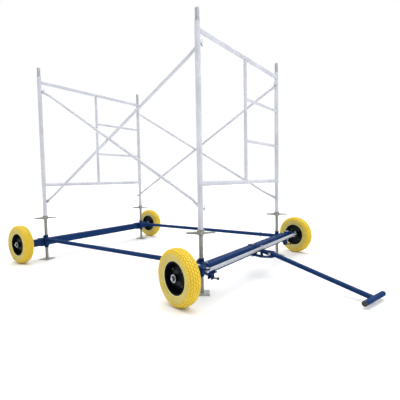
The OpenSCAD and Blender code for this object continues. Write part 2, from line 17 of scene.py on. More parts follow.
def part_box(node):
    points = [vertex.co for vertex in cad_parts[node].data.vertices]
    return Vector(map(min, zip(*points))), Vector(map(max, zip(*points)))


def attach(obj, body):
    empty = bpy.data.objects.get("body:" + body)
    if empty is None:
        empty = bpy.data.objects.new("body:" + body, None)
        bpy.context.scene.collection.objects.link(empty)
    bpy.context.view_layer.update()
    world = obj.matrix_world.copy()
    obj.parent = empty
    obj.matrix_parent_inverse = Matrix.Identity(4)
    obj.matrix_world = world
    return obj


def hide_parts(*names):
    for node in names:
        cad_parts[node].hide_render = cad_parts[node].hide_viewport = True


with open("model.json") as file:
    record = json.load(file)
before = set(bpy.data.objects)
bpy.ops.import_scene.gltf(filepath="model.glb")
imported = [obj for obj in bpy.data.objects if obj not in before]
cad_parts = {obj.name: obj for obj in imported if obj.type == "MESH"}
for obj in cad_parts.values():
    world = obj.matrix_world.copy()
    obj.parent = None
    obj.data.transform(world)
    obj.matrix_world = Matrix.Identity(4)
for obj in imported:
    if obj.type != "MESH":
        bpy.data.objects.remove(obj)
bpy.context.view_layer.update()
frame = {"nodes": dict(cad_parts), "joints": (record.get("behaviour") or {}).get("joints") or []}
scene = bpy.context.scene
TAU = 2 * math.pi
MM = 0.001
UP = (0, 0, 1)


def middle(node):
    low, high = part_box(node)
    return (low + high) / 2


# ---- camera ----

CAMERA_AT = (3.567, -2.035, 0.8725)
CAMERA_TURN = (35.19, 3.61, -0.99)      # azimuth, elevation and roll in degrees
SENSOR_WIDTH, FOCAL_LENGTH = 36, 29.9   # millimetres


def turned(azimuth, elevation, roll):
    """Rotation of a camera that stands at this azimuth and elevation round its target."""
    a, e, r = (math.radians(v) for v in (azimuth, elevation, roll))
    back = Vector((math.sin(a) * math.cos(e), -math.cos(a) * math.cos(e), math.sin(e)))
    right = (-back).cross(Vector((0, 0, 1))).normalized()
    up = right.cross(-back)
    side = right * math.cos(r) + up * math.sin(r)
    top = up * math.cos(r) - right * math.sin(r)
    return Matrix((side, top, back)).transposed()


lens = bpy.data.cameras.new("camera")
lens.sensor_width = SENSOR_WIDTH
lens.lens = FOCAL_LENGTH
lens.clip_start = 0.05
lens.clip_end = 200
camera = bpy.data.objects.new("camera", lens)
camera.matrix_world = Matrix.Translation(CAMERA_AT) @ turned(*CAMERA_TURN).to_4x4()
scene.collection.objects.link(camera)
scene.camera = camera


# ---- materials ----


class Surface:
    """A material under construction: adds nodes and hands back their output sockets."""

    def __init__(self, name):
        self.material = bpy.data.materials.new(name)
        self.material.use_nodes = True
        self.tree = self.material.node_tree
        self.tree.nodes.clear()
        self.place = self.add("TexCoord", "Object")
        self.normal = self.add("NewGeometry", "Normal")

    def add(self, kind, out=0, props=None, **inputs):
        node = self.tree.nodes.new("ShaderNode" + kind)
        for key, value in (props or {}).items():
            setattr(node, key, value)
        for key, value in inputs.items():
            key = int(key[1:]) if key[0] == "i" and key[1:].isdigit() else key.replace("_", " ")
            self.feed(node.inputs[key], value)
        return node.outputs[out]

    def feed(self, socket, value):
        if isinstance(value, bpy.types.NodeSocket):
            self.tree.links.new(value, socket)
        else:
            socket.default_value = value

    def noise(self, scale, detail=3.0, rough=0.5, stretch=None):
        place = self.place
        if stretch is not None:
            place = self.add("Mapping", Vector=place, Scale=stretch)
        return self.add("TexNoise", "Fac", Vector=place, Scale=scale, Detail=detail,
                        Roughness=rough)

    def cells(self, scale, out="Distance"):
        return self.add("TexVoronoi", out, {"feature": "F1"}, Vector=self.place, Scale=scale)

    def ramp(self, value, low, high, start=0.0, end=1.0):
        return self.add("MapRange", 0, None, i0=value, i1=low, i2=high, i3=start, i4=end)

    def sum(self, a, b, kind="ADD"):
        return self.add("Math", 0, {"operation": kind, "use_clamp": True}, i0=a, i1=b)

    def product(self, a, b):
        return self.sum(a, b, "MULTIPLY")

    def mix(self, share, a, b):
        a, b = ((*v, 1) if isinstance(v, tuple) and len(v) == 3 else v for v in (a, b))
        return self.add("Mix", 2, {"data_type": "RGBA"}, i0=share, i6=a, i7=b)

    def blend(self, share, a, b):
        return self.add("Mix", 0, {"data_type": "FLOAT"}, i0=share, i2=a, i3=b)

    def edges(self, radius, low=0.02, high=0.22):
        """1 on sharp outer and inner edges, 0 on flat faces."""
        soft = self.rounded(radius)
        dot = self.add("VectorMath", "Value", {"operation": "DOT_PRODUCT"}, i0=soft, i1=self.normal)
        return self.ramp(dot, 1 - low, 1 - high)

    def upward(self, low, high):
        """1 where the surface faces up, 0 where it faces sideways or down."""
        return self.ramp(self.add("SeparateXYZ", "Z", None, Vector=self.normal), low, high)

    def bump(self, height, strength, distance, under=None):
        inputs = dict(Height=height, Strength=strength, Distance=distance)
        if under is not None:
            inputs["Normal"] = under
        return self.add("Bump", 0, None, **inputs)

    def rounded(self, radius):
        """Normal with the edges eased by this radius."""
        return self.add("Bevel", 0, {"samples": 6}, Radius=radius)

    def finish(self, colour, roughness, normal, **fixed):
        shader = self.add("BsdfPrincipled", 0, None, Base_Color=colour, Roughness=roughness,
                          Normal=normal, **fixed)
        output = self.tree.nodes.new("ShaderNodeOutputMaterial")
        self.tree.links.new(shader, output.inputs["Surface"])
        return self.material


def shade(colour, factor):
    return tuple(min(1.0, c * factor) for c in colour)


def paint(name, colour, under, chips=0.5, gloss=(0.26, 0.42), coat=0.25, dust=0.2,
          dust_colour=(0.55, 0.53, 0.48), peel=0.00012, edge=0.0016, specular=0.1):
    """Sprayed enamel or powder coat: uneven tone, orange peel, chipped edges, scuffs and dust."""
    s = Surface(name)
    patches = s.noise(4.5, 4.0, 0.55)
    speckle = s.noise(140.0, 2.0)
    tone = s.mix(s.ramp(patches, 0.3, 0.72), shade(colour, 0.86), shade(colour, 1.12))
    tone = s.mix(s.ramp(speckle, 0.35, 0.75, 0.0, 0.18), tone, shade(colour, 0.72))
    streaks = s.product(s.ramp(s.noise(1.0, 2.0, 0.5, (9.0, 330.0, 330.0)), 0.66, 0.72),
                        s.ramp(s.noise(9.0), 0.5, 0.62))
    cross = s.product(s.ramp(s.noise(1.0, 2.0, 0.5, (300.0, 14.0, 300.0)), 0.67, 0.73),
                      s.ramp(s.noise(8.0, 2.0), 0.5, 0.6))
    scuffs = s.sum(streaks, cross)
    tone = s.mix(s.product(scuffs, 0.45), tone, shade(colour, 1.9))
    worn = s.product(s.edges(edge),
                     s.ramp(s.noise(70.0, 4.0, 0.6), 0.62 - 0.16 * chips, 0.66 - 0.1 * chips))
    dirt = s.product(s.upward(0.45, 0.95),
                     s.ramp(s.noise(26.0, 5.0, 0.65), 0.4, 0.68, 0.0, dust))
    tone = s.mix(dirt, tone, dust_colour)
    tone = s.mix(worn, tone, under)
    rough = s.ramp(s.noise(60.0, 3.0), 0.3, 0.7, gloss[0], gloss[1])
    rough = s.sum(rough, s.sum(s.product(scuffs, 0.2), s.product(dirt, 0.8)))
    rough = s.blend(worn, rough, 0.5)
    skin = s.bump(s.noise(420.0, 1.5), 0.35, peel, s.rounded(0.0012))
    skin = s.bump(worn, -0.5, 0.00012, skin)
    return s.finish(tone, rough, skin, Coat_Weight=coat, Coat_Roughness=0.16,
                    Specular_IOR_Level=specular)


def zinc(name, colour, rough=(0.34, 0.55), spangle=95.0, metal=0.8, bloom=0.25, pits=0.00015):
    """Hot-dip or electroplated zinc: crystal spangle, white bloom and small scratches."""
    s = Surface(name)
    crystal = s.cells(spangle, "Color")
    grey = s.add("SeparateXYZ", "X", None, Vector=crystal)
    base = s.mix(s.ramp(grey, 0.0, 1.0), shade(colour, 0.82), shade(colour, 1.14))
    haze = s.product(s.ramp(s.noise(14.0, 5.0, 0.6), 0.48, 0.7), bloom)
    base = s.mix(haze, base, shade(colour, 1.45))
    stain = s.ramp(s.noise(31.0, 4.0, 0.6), 0.6, 0.75, 0.0, 0.35)
    base = s.mix(stain, base, shade(colour, 0.6))
    lines = s.ramp(s.noise(1.0, 2.0, 0.5, (260.0, 260.0, 18.0)), 0.64, 0.72, 0.0, 0.3)
    base = s.mix(lines, base, shade(colour, 1.4))
    gloss = s.sum(s.ramp(grey, 0.0, 1.0, rough[0], rough[1]), s.product(haze, 0.5))
    bright = s.product(s.edges(0.0012), 0.5)
    base = s.mix(bright, base, shade(colour, 1.5))
    skin = s.bump(s.noise(260.0, 4.0, 0.6), 0.5, pits, s.rounded(0.0006))
    return s.finish(base, gloss, skin, Metallic=metal)


def cast_iron(name, colour):
    """Galvanised sand casting: lumpy skin, grey bloom, brighter rubbed edges."""
    s = Surface(name)
    base = s.mix(s.ramp(s.noise(22.0, 5.0, 0.6), 0.3, 0.7), shade(colour, 0.78),
                 shade(colour, 1.18))
    base = s.mix(s.ramp(s.noise(170.0, 3.0), 0.55, 0.75, 0.0, 0.5), base, shade(colour, 0.62))
    base = s.mix(s.product(s.edges(0.0025), 0.6), base, shade(colour, 1.5))
    gloss = s.ramp(s.noise(90.0, 3.0), 0.3, 0.7, 0.42, 0.66)
    skin = s.bump(s.noise(300.0, 3.0, 0.6), 0.7, 0.0004)
    skin = s.bump(s.noise(60.0, 2.0), 0.5, 0.0009, skin)
    return s.finish(base, gloss, skin, Metallic=0.7)


def moulded(name, colour, rough=(0.38, 0.55)):
    """Moulded plastic or rubber with a fine grain and greyed, rubbed places."""
    s = Surface(name)
    base = s.mix(s.ramp(s.noise(40.0, 4.0), 0.35, 0.7), shade(colour, 0.8), shade(colour, 1.6))
    base = s.mix(s.product(s.edges(0.0012), 0.35), base, shade(colour, 3.2))
    gloss = s.ramp(s.noise(120.0, 3.0), 0.3, 0.7, rough[0], rough[1])
    skin = s.bump(s.cells(900.0), 0.25, 0.0002, s.rounded(0.0005))
    return s.finish(base, gloss, skin)


def weld_metal(name, colour):
    """Painted or plated weld bead: rippled, its tone mottled darker and lighter at random."""
    s = Surface(name)
    base = s.mix(s.ramp(s.noise(160.0, 3.0), 0.35, 0.7), shade(colour, 0.7), shade(colour, 1.15))
    skin = s.bump(s.noise(500.0, 2.0), 0.5, 0.0003)
    return s.finish(base, s.ramp(s.noise(90.0), 0.3, 0.7, 0.3, 0.5), skin, Coat_Weight=0.2)


def foam_tyre():
    """Solid foamed tyre: pored skin, painted light on the tread and painted shade on the side
    walls, pale at the bead, painted shade in the grooves, patches of grime.
    """
    s = Surface("tyre")
    tread = s.add("Attribute", "Fac", {"attribute_name": "tread"})
    low = s.add("Attribute", "Fac", {"attribute_name": "groove"})
    bead = s.add("Attribute", "Fac", {"attribute_name": "bead"})
    cloud = s.noise(13.0, 5.0, 0.6)
    mottle = s.noise(75.0, 4.0, 0.6)
    # Painted light and shade: the side wall colour is a duller, darker copy of the tread colour, as
    # if in shade, and the tread colour is painted as lit.
    wall = s.mix(s.ramp(cloud, 0.32, 0.7), (0.465, 0.37, 0.072), (0.56, 0.465, 0.115))
    lit_crown = s.mix(s.ramp(cloud, 0.3, 0.7), (0.71, 0.515, 0.017), (0.80, 0.60, 0.029))
    base = s.mix(tread, wall, lit_crown)
    base = s.mix(s.ramp(mottle, 0.4, 0.75, 0.0, 0.28), base, (0.52, 0.36, 0.06))
    # Painted shade: the grooves get a deeper, darker orange, the shade that falls in them.
    base = s.mix(s.product(low, 0.85), base, (0.56, 0.33, 0.010))
    base = s.mix(s.product(bead, 0.8), base, (0.80, 0.74, 0.36))
    grime = s.product(s.ramp(s.noise(30.0, 6.0, 0.7), 0.52, 0.74),
                      s.ramp(tread, 0.0, 1.0, 0.20, 0.26))
    base = s.mix(grime, base, (0.30, 0.22, 0.09))
    gloss = s.ramp(s.noise(50.0, 3.0), 0.3, 0.7, 0.5, 0.72)
    skin = s.bump(s.cells(620.0), 0.35, 0.00035)
    skin = s.bump(s.noise(190.0, 4.0, 0.6), 0.4, 0.0005, skin)
    return s.finish(base, gloss, skin, Subsurface_Weight=0.08,
                    Subsurface_Radius=(0.004, 0.002, 0.0008))


NAVY = (0.0045, 0.027, 0.105)
PALE = (0.52, 0.535, 0.59)
GREY = (0.34, 0.35, 0.33)
frame_paint = paint("frame_paint", PALE, (0.30, 0.30, 0.30), chips=0.25, gloss=(0.34, 0.5),
                    coat=0.15, dust=0.14, specular=0.25)
blue_paint = paint("blue_paint", NAVY, (0.24, 0.24, 0.24), chips=0.5, gloss=(0.3, 0.44),
                   coat=0.12, dust=0.06, specular=0.0)
rim_paint = paint("rim_paint", (0.003, 0.004, 0.006), (0.06, 0.06, 0.06), chips=0.4,
                  gloss=(0.25, 0.4), coat=0.1, dust=0.0, specular=0.04)
galvanised = zinc("galvanised", (0.40, 0.42, 0.455))
jack_zinc = zinc("jack_zinc", GREY, (0.42, 0.62), 110.0, 0.65, 0.3)
jack_cast = cast_iron("jack_cast", (0.30, 0.305, 0.285))
dark_zinc = zinc("dark_zinc", (0.11, 0.115, 0.125))
black_steel = moulded("black_steel", (0.018, 0.018, 0.020), (0.35, 0.5))
black_plastic = moulded("black_plastic", (0.008, 0.008, 0.009))
frame_weld = weld_metal("frame_weld", shade(PALE, 0.92))
blue_weld = weld_metal("blue_weld", shade(NAVY, 0.9))
rim_weld = weld_metal("rim_weld", (0.006, 0.007, 0.009))
tyre_foam = foam_tyre()

# The CAD nodes' materials by the name of their slot
FINISHES = {"frame_paint": frame_paint, "blue_paint": blue_paint, "galvanised": galvanised,
            "black_steel": black_steel, "rim_paint": rim_paint, "black_plastic": black_plastic,
            "tyre": tyre_foam}
for node in frame["nodes"].values():
    for i, old in enumerate(node.data.materials):
        node.data.materials[i] = FINISHES[old.name.split(".")[0]]


# ---- mesh building ----


def skin(rings, loop=False, caps=True):
    """Points and faces of a surface through rings of equally many points."""
    rings = np.asarray(rings, float)
    rows, columns = rings.shape[:2]
    faces = []
    for r in range(rows if loop else rows - 1):
        a, b = r * columns, (r + 1) % rows * columns
        faces += [(a + c, a + (c + 1) % columns, b + (c + 1) % columns, b + c)
                  for c in range(columns)]
    if caps and not loop:
        last = (rows - 1) * columns
        faces += [tuple(range(columns)), tuple(range(last, last + columns))]
    return rings.reshape(-1, 3), faces


def sized(*pairs):
    """Pairs of millimetres in the model's metres."""
    return [(a * MM, b * MM) for a, b in pairs]


def lathe(profile, segments=48, loop=False, wave=None):
    """Surface of revolution about Z through (radius, height) pairs; wave scales it by angle."""
    angle = np.arange(segments) * TAU / segments
    swell = np.ones(segments) if wave is None else wave(angle)
    rings = [np.stack([r * swell * np.cos(angle), r * swell * np.sin(angle),
                       np.full(segments, h)], 1) for r, h in profile]
    return skin(rings, loop)


def helix(diameter, pitch, depth, low, high, segments=24, bore=None):
    """A screw thread along Z, solid or with a bore."""
    crest, root = diameter / 2, diameter / 2 - depth
    form = [(0.0, root), (0.22, crest), (0.5, crest), (0.72, root)]
    turns = int((high - low) / pitch) + 3
    angle = np.arange(segments) * TAU / segments
    points = []
    for k in range(turns * len(form)):
        share, radius = form[k % len(form)]
        z = low + pitch * (k // len(form) - 1.5 + share + angle / TAU)
        out = (z <= low) | (z >= high)
        r = np.where(out, root, radius)
        points.append(np.stack([r * np.cos(angle), r * np.sin(angle), np.clip(z, low, high)], 1))
    points = np.concatenate(points)
    step = len(form) * segments
    faces = []
    for i in range(len(points) - segments):
        side = i + 1 if (i + 1) % segments else i + 1 - segments + step
        if side + segments < len(points):
            faces.append((i, side, side + segments, i + segments))
    ends = []
    for z in (low, high):
        ends.append(np.stack([root * np.cos(angle), root * np.sin(angle), np.full(segments, z)], 1))
    if bore:
        inner = [e * [bore / root, bore / root, 1] for e in ends]
        extra, extra_faces = skin([ends[0], inner[0], inner[1], ends[1]], caps=False)
    else:
        extra = np.concatenate(ends)
        extra_faces = [tuple(range(segments)), tuple(range(segments, 2 * segments))]
    start = len(points)
    faces += [tuple(i + start for i in f) for f in extra_faces]
    return np.concatenate([points, extra]), faces


FACE_SHARE = 0.48   # radius of the flat round face of a nut or bolt head, as a share of its flats


def hexagon_rings(flats, segments=48):
    """Reach of a chamfered hexagon by angle, the drop of its corners, and a maker of rings."""
    angle = np.arange(segments) * TAU / segments
    corner = flats / 2 / np.cos((angle + TAU / 12) % (TAU / 6) - TAU / 12)
    drop = np.maximum(0, corner - flats * 0.49) * math.tan(math.radians(30))

    def ring(radius, z):
        radius, z = radius * np.ones(segments), z * np.ones(segments)
        return np.stack([radius * np.cos(angle), radius * np.sin(angle), z], 1)

    return corner, drop, ring


def hexagon_head(flats, height):
    """Bolt head with its chamfered corners, standing on Z = 0."""
    reach, drop, ring = hexagon_rings(flats)
    flat = flats * FACE_SHARE
    return skin([ring(flat, 0), ring(reach, 0.03 * height + drop * 0.4), ring(reach, height - drop),
                 ring(flat, height), ring(flat * 0.8, height), ring(flat * 0.76, height * 0.96)])


def hexagon_nut(flats, height, bore):
    """Nut chamfered on both sides, with a countersunk bore, standing on Z = 0."""
    reach, drop, ring = hexagon_rings(flats)
    flat, hole = flats * FACE_SHARE, bore / 2
    return skin([ring(hole * 1.08, 0), ring(flat, 0), ring(reach, drop), ring(reach, height - drop),
                 ring(flat, height), ring(hole * 1.08, height), ring(hole, height - hole * 0.08),
                 ring(hole, hole * 0.08)], loop=True)


def washer(inner, outer, low, high):
    """Washer between two heights, its outer edges eased."""
    e = min(0.3 * MM, (high - low) / 4)
    inner, outer = inner / 2, outer / 2
    return lathe([(inner, low), (outer - e, low), (outer, low + e), (outer, high - e),
                  (outer - e, high), (inner, high)], 48, loop=True)


def bead(path, size, normals, closed=False, ripple=3.6 * MM):
    """Weld bead along a path: a low rounded strip with the ripples of its puddle."""
    path, normals = np.asarray(path, float), np.asarray(normals, float)
    count = len(path)
    if closed:
        ahead, behind = np.roll(path, -1, 0), np.roll(path, 1, 0)
    else:
        ahead, behind = np.vstack([path[1:], path[-1:]]), np.vstack([path[:1], path[:-1]])
    tangent = ahead - behind
    tangent /= np.linalg.norm(tangent, axis=1)[:, None]
    normals = normals - tangent * np.sum(normals * tangent, 1)[:, None]
    normals /= np.linalg.norm(normals, axis=1)[:, None]
    side = np.cross(tangent, normals)
    steps = np.linalg.norm(np.diff(path, axis=0), axis=1)
    run = np.concatenate([[0], np.cumsum(steps)])
    if closed:
        whole = run[-1] + np.linalg.norm(path[0] - path[-1])
        ripple = whole / max(3, round(whole / ripple))
    phase = run / ripple % 1
    radius = size * (0.86 + 0.24 * np.sin(np.pi * phase) ** 0.6)
    if not closed:
        radius *= np.clip(np.minimum(run, run[-1] - run) / size, 0.35, 1)
    turn = np.arange(8) * TAU / 8
    rings = (path[:, None] + radius[:, None, None] * (np.cos(turn)[None, :, None] * side[:, None]
             + 0.8 * np.sin(turn)[None, :, None] * normals[:, None]))
    return skin(rings, loop=closed)


class Piece:
    """Collects closed shells and turns them into one Blender object in the model's frame."""

    def __init__(self):
        self.points, self.faces, self.count = [], [], 0

    def add(self, shell, matrix=None):
        points, faces = shell
        points = np.asarray(points, float)
        if matrix is not None:
            m = np.array(matrix)
            points = points @ m[:3, :3].T + m[:3, 3]
        self.points.append(points)
        self.faces += [tuple(i + self.count for i in f) for f in faces]
        self.count += len(points)
        return self

    def object(self, name, material, sharp=35, attributes=None):
        mesh = bpy.data.meshes.new(name)
        mesh.from_pydata(np.concatenate(self.points).tolist(), [], self.faces)
        for key, values in (attributes or {}).items():
            mesh.attributes.new(key, "FLOAT", "POINT").data.foreach_set("value", values)
        clean(mesh)
        mesh.materials.append(material)
        mesh.shade_smooth()
        mesh.set_sharp_from_angle(angle=math.radians(sharp))
        obj = bpy.data.objects.new(name, mesh)
        scene.collection.objects.link(obj)
        return obj


def clean(mesh):
    """Joins doubled points, drops empty faces and turns every shell's faces outwards."""
    bm = bmesh.new()
    bm.from_mesh(mesh)
    bmesh.ops.remove_doubles(bm, verts=bm.verts, dist=2e-6)
    bmesh.ops.dissolve_degenerate(bm, dist=1e-6, edges=bm.edges)
    bmesh.ops.recalc_face_normals(bm, faces=bm.faces)
    bm.to_mesh(mesh)
    bm.free()


def put(obj, body, slot, *replaced):
    """Parents a piece to the body it rides on and hides the nodes it replaces; the slot argument is
    not used.
    """
    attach(obj, body)
    if replaced:
        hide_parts(*replaced)


def basis(x, y, z, origin):
    """Matrix whose local axes are the three given directions."""
    m = Matrix((Vector(x), Vector(y), Vector(z))).transposed().to_4x4()
    m.translation = Vector(origin)
    return m


def along(direction, origin, up=(0, 0, 1)):
    """Matrix that lays local Z along a direction."""
    z = Vector(direction).normalized()
    up = Vector(up) if abs(z.dot(Vector(up))) < 0.9 else Vector((0, 1, 0))
    y = (up - z * up.dot(z)).normalized()
    return basis(y.cross(z), y, z, origin)


def move(x, y, z):
    return Matrix.Translation((x, y, z))


def remeshed(name, piece, voxel, passes, material, sharp=60):
    """One skin round overlapping shells, smoothed where they meet, as in a casting."""
    rough = piece.object(name + "_shells", material)
    remesh = rough.modifiers.new("skin", "REMESH")
    remesh.mode = "VOXEL"
    remesh.voxel_size = voxel
    soften = rough.modifiers.new("soften", "SMOOTH")
    soften.factor = 0.5
    soften.iterations = passes
    graph = bpy.context.evaluated_depsgraph_get()
    mesh = bpy.data.meshes.new_from_object(rough.evaluated_get(graph))
    mesh.name = name
    bpy.data.objects.remove(rough)
    mesh.materials.clear()
    mesh.materials.append(material)
    mesh.shade_smooth()
    mesh.set_sharp_from_angle(angle=math.radians(sharp))
    obj = bpy.data.objects.new(name, mesh)
    scene.collection.objects.link(obj)
    return obj


# ---- reading the CAD model ----


def shells(node):
    """The separate solids of a CAD node, each as points in the model's frame."""
    obj = frame["nodes"][node]
    mesh = obj.data
    points = np.empty(len(mesh.vertices) * 3)
    mesh.vertices.foreach_get("co", points)
    m = np.array(obj.matrix_world)
    points = points.reshape(-1, 3) @ m[:3, :3].T + m[:3, 3]
    _, same = np.unique(np.round(points, 6), axis=0, return_inverse=True)
    same = same.ravel()
    edges = np.empty(len(mesh.edges) * 2, np.int32)
    mesh.edges.foreach_get("vertices", edges)
    pairs = same[edges.reshape(-1, 2)]
    group = np.arange(same.max() + 1)
    while True:
        low = np.minimum(group[pairs[:, 0]], group[pairs[:, 1]])
        new = group.copy()
        np.minimum.at(new, pairs[:, 0], low)
        np.minimum.at(new, pairs[:, 1], low)
        new = new[new]
        if (new == group).all():
            break
        group = new
    owner = group[same]
    return [points[owner == g] for g in np.unique(owner)]


def reach(points, axis):
    """Frame on the axis at the foot of a solid of revolution, and the solid's length."""
    place = along(axis, (0, 0, 0))
    local = points @ np.array(place.to_3x3())
    low, high = local.min(0), local.max(0)
    foot = place @ Vector(((low[0] + high[0]) / 2, (low[1] + high[1]) / 2, low[2]))
    return along(axis, foot), float(high[2] - low[2])


def ring_path(radius, height, count=96):
    """Points of a circle round Z."""
    angle = np.arange(count) * TAU / count
    return np.stack([radius * np.cos(angle), radius * np.sin(angle), np.full(count, height)], 1)


joints = {j["name"]: j for j in frame["joints"]}
CORNERS = ("rear_near", "rear_far", "front_near", "front_far")


# ---- jack screws and wing nuts ----


def square_plate(side, corner, thickness, hole, offset):
    """Rounded square plate on Z = 0 with a hole near each corner and eased edges."""
    outline = []
    for k in range(4):
        turn = TAU / 8 + k * TAU / 4
        mid = np.array([math.cos(turn), math.sin(turn)]) * math.sqrt(2) * (side / 2 - corner)
        for a in turn + np.linspace(-TAU / 8, TAU / 8, 5):
            outline.append(mid + corner * np.array([math.cos(a), math.sin(a)]))
    loops = [outline] + [[(x + hole / 2 * math.cos(t), y + hole / 2 * math.sin(t))
                          for t in np.arange(24) * TAU / 24]
                         for x in (-offset, offset) for y in (-offset, offset)]
    bm = bmesh.new()
    edges = []
    for loop in loops:
        ring = [bm.verts.new((x, y, 0)) for x, y in loop]
        edges += [bm.edges.new(pair) for pair in zip(ring, ring[1:] + ring[:1])]
    bmesh.ops.triangle_fill(bm, use_beauty=True, use_dissolve=False, edges=edges)
    raised = bmesh.ops.extrude_face_region(bm, geom=bm.faces[:], use_keep_orig=True)
    bmesh.ops.translate(bm, vec=(0, 0, thickness),
                        verts=[g for g in raised["geom"] if isinstance(g, bmesh.types.BMVert)])
    bmesh.ops.recalc_face_normals(bm, faces=bm.faces)
    rims = [e for e in bm.edges if len(e.link_faces) == 2 and e.calc_face_angle() > 1.2
            and abs(e.verts[0].co.z - e.verts[1].co.z) < 1e-6]
    bmesh.ops.bevel(bm, geom=rims, offset=0.7 * MM, segments=2, affect="EDGES", profile=0.5)
    bm.verts.index_update()
    shell = (np.array([v.co[:] for v in bm.verts]),
             [tuple(v.index for v in f.verts) for f in bm.faces])
    bm.free()
    return shell


def heading_of(points, limit):
    """Direction of the point farthest from the origin's vertical, and the points past a limit."""
    away = np.hypot(points[:, 0], points[:, 1])
    far = points[np.argmax(away)]
    return math.atan2(far[1], far[0]), points[away > limit]


def turned_about(origin, angle):
    return Matrix.Translation(origin) @ Matrix.Rotation(angle, 4, "Z")


PLATE_SIDE, PLATE_CORNER, PLATE_HIGH = 120 * MM, 3 * MM, 6 * MM
PLATE_HOLE, PLATE_HOLE_AT = 12 * MM, 45 * MM
SCREW, SCREW_PITCH, SCREW_DEPTH, SCREW_BORE = 33.9 * MM, 6 * MM, 2.2 * MM, 12 * MM
ARM_DROP = 24.7 * MM    # from the top of the wing nut to the middle of its arms
NUT_VOXEL = 1.4 * MM

# The wing nut's two arms: distance from its axis and radius, in millimetres
SLIM = [(18.4, 7.2), (30, 9.4), (42, 8.0), (70, 6.9), (98, 6.2), (106, 6.2), (110.2, 4.6),
        (111.8, 1.5)]
STOUT = [(18.6, 12.0), (30, 12.6), (46, 11.3), (74, 9.9), (96, 8.9), (104, 8.4), (109.4, 6.4),
         (111.8, 2)]
for corner in CORNERS:
    low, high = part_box("jack_screw_" + corner)
    foot = Vector(((low.x + high.x) / 2, (low.y + high.y) / 2, low.z))
    heading, _ = heading_of(shells("jack_screw_" + corner)[0] - np.array(foot), 0)
    place = turned_about(foot, heading - TAU / 8)
    jack = Piece()
    jack.add(square_plate(PLATE_SIDE, PLATE_CORNER, PLATE_HIGH, PLATE_HOLE, PLATE_HOLE_AT), place)
    jack.add(helix(SCREW, SCREW_PITCH, SCREW_DEPTH, PLATE_HIGH - 0.2 * MM,
                   high.z - low.z - 0.4 * MM, 28, SCREW_BORE), place)
    weld = ring_path(17.2 * MM, PLATE_HIGH + 0.8 * MM)
    jack.add(bead(weld, 3.2 * MM, ring_path(1, 1), True), place)
    put(jack.object("screw_and_plate_" + corner, jack_zinc, 38), "jack_screw_" + corner,
        "galvanised", "jack_screw_" + corner)

    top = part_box("jack_nut_" + corner)[1].z
    pivot = joints["jack_nut_turn_" + corner]["pos_m"]
    origin = Vector((pivot[0], pivot[1], top))
    heading, tips = heading_of(shells("jack_nut_" + corner)[0] - np.array(origin), 106 * MM)
    side = tips[:, 0] * math.cos(heading) + tips[:, 1] * math.sin(heading) > 0
    stout = np.ptp(tips[side, 2]) > np.ptp(tips[~side, 2])
    place = turned_about(origin, heading + (math.pi if stout else 0))
    nut = Piece()
    nut.add(lathe(sized((17.6, -42.4), (23, -42.4), (25.4, -40.5), (25.6, -30), (24.2, -18),
                        (25.4, -10), (28.6, -6.8), (29.4, -5), (29.5, -0.9), (28, -0.5),
                        (17.6, -0.5)), 64, loop=True), place)
    for profile, way in ((SLIM, 1), (STOUT, -1)):
        arm = lathe(sized(*((radius, away) for away, radius in profile)), 32)
        nut.add(arm, place @ along((way, 0, 0), (0, 0, -ARM_DROP)))
    for k in range(4):
        lobe = lathe(sized((3.5, -40), (4.6, -36), (4.6, -14), (3, -10)), 16)
        spin = Matrix.Rotation(TAU / 8 + k * TAU / 4, 4, "Z")
        nut.add(lobe, place @ spin @ move(22.2 * MM, 0, 0))
    put(remeshed("cast_nut_" + corner, nut, NUT_VOXEL, 2, jack_cast), "jack_nut_" + corner,
        "galvanised", "jack_nut_" + corner)


# ---- bolts, pins and screws ----


def add_bolt(piece, place, length, diameter, pitch, flats, head, nut=0.0, end=3 * MM):
    """Bolt up local Z from its threaded end; the nut stands `end` above that."""
    depth = 0.6 * pitch
    low, high = 0.0, length - head + 0.4 * MM
    turn = min(high, end + nut + 8 * MM)
    piece.add(lathe([(0.34 * diameter, low), (diameter / 2 - depth, low + depth),
                     (diameter / 2 - depth, low + 2.4 * depth)], 24), place)
    piece.add(helix(diameter - 0.1 * MM, pitch, depth, low + depth, turn, 24), place)
    if high > turn + 1 * MM:
        piece.add(lathe([(diameter / 2 - depth, turn - 1 * MM), (diameter / 2 - 0.05 * MM, turn),
                         (diameter / 2 - 0.05 * MM, high)], 32), place)
    piece.add(hexagon_head(flats, head), place @ move(0, 0, length - head))
    if nut:
        piece.add(hexagon_nut(flats, nut, diameter * 0.97), place @ move(0, 0, end))


def bolts(name, node, body, axis, sizes):
    """Replaces a node of plain bolts; sizes picks the measures of each by its length."""
    piece = Piece()
    for points in shells(node):
        place, length = reach(points, axis)
        add_bolt(piece, place, length, *sizes(length))
    put(piece.object(name, galvanised, 32), body, "galvanised", node)


def wheel_axis(corner):
    """Direction of a wheel's axle, outwards."""
    axis = Vector(joints["wheel_spin_" + corner]["axis"]).normalized()
    return -axis if corner.endswith("near") else axis


# Diameter, pitch, flats and height of the head; each bolt adds its nut's height and place
M12 = (12 * MM, 1.75 * MM, 19 * MM, 8 * MM)
M14 = (14 * MM, 2 * MM, 22 * MM, 8 * MM)
M20 = (20 * MM, 2.5 * MM, 30 * MM, 8 * MM)
M24 = (24 * MM, 3 * MM, 36 * MM, 8 * MM)
KINGPIN_UNDER = 106 * MM    # the kingpins are shorter than this, and the centre pin is longer
TIE_BOLT_UNDER = 50 * MM    # so are the tie rod's end bolts, and its centre bolt has no nut
hinge = joints["drawbar_lift"]

